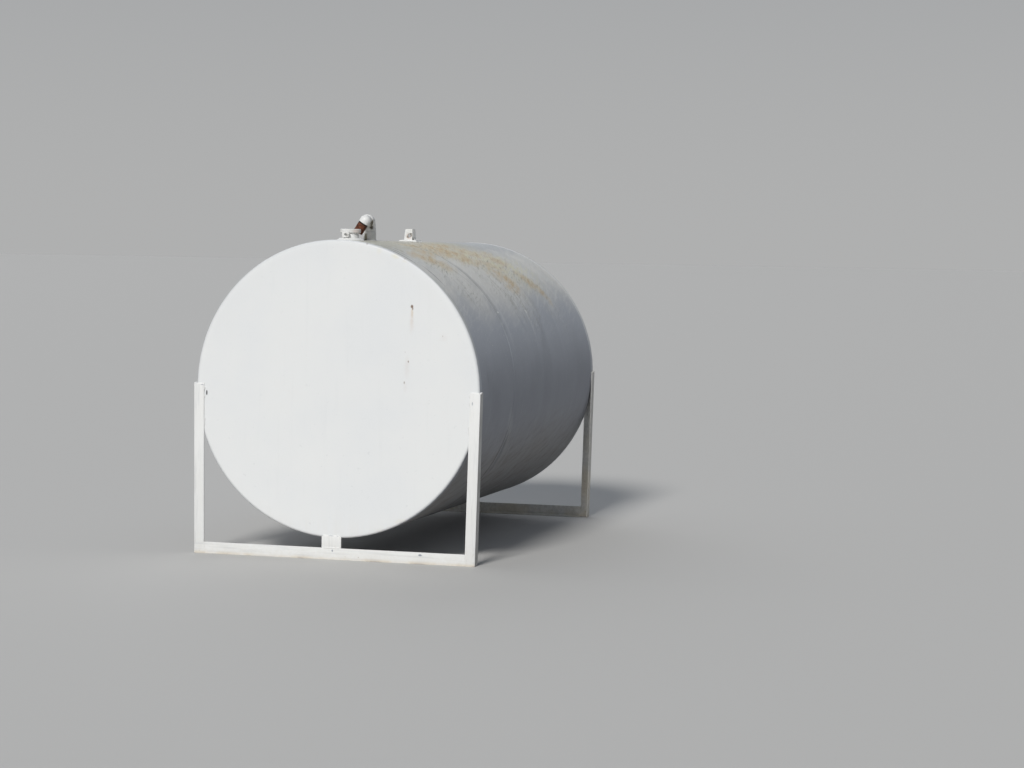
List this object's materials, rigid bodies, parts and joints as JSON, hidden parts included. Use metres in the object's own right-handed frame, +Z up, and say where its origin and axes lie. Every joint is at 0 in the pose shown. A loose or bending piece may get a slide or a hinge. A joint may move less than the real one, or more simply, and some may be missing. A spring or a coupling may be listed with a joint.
{
  "type": "horizontal storage tank on end frames",
  "caption": "Horizontal cylindrical steel tank with flat ends, on angle-iron end frames, with a fill cap, gooseneck vent and lifting lug on top.",
  "frame": {"origin": "on the floor, midway between the two end frames and under the tank's axis", "axes": "+Z up, +Y along the tank's axis from the front head, with the fill fitting, to the rear head"},
  "size_m": [1.2346, 1.9666, 1.4161],
  "materials": {
    "shell_paint": "weathered white paint, chalked and rust stained",
    "head_paint": "brushed-on white paint, satin",
    "frame_paint": "brushed-on white paint over angle iron",
    "fitting_paint": "thick white paint with grime in the corners",
    "bare_rust": "bare rusted iron"
  },
  "bodies": {
    "root": {"shell_front_course": "shell_paint", "shell_rear_course": "shell_paint", "front_head": "head_paint", "rear_head": "head_paint", "front_left_leg": "frame_paint", "front_right_leg": "frame_paint", "front_sill": "frame_paint", "front_center_stub": "frame_paint", "rear_left_leg": "frame_paint", "rear_right_leg": "frame_paint", "rear_sill": "frame_paint", "rear_center_stub": "frame_paint", "fill_flange": "fitting_paint", "fill_neck": "fitting_paint", "fill_cap": "fitting_paint", "fill_cap_hasp": "fitting_paint", "vent_coupling": "fitting_paint", "vent_riser_nipple": "fitting_paint", "vent_lower_elbow": "fitting_paint", "vent_close_nipple": "fitting_paint", "vent_upper_elbow": "fitting_paint", "vent_outlet_nipple": "bare_rust", "lug_pad": "fitting_paint", "lifting_lug": "fitting_paint"}
  },
  "joints": []
}
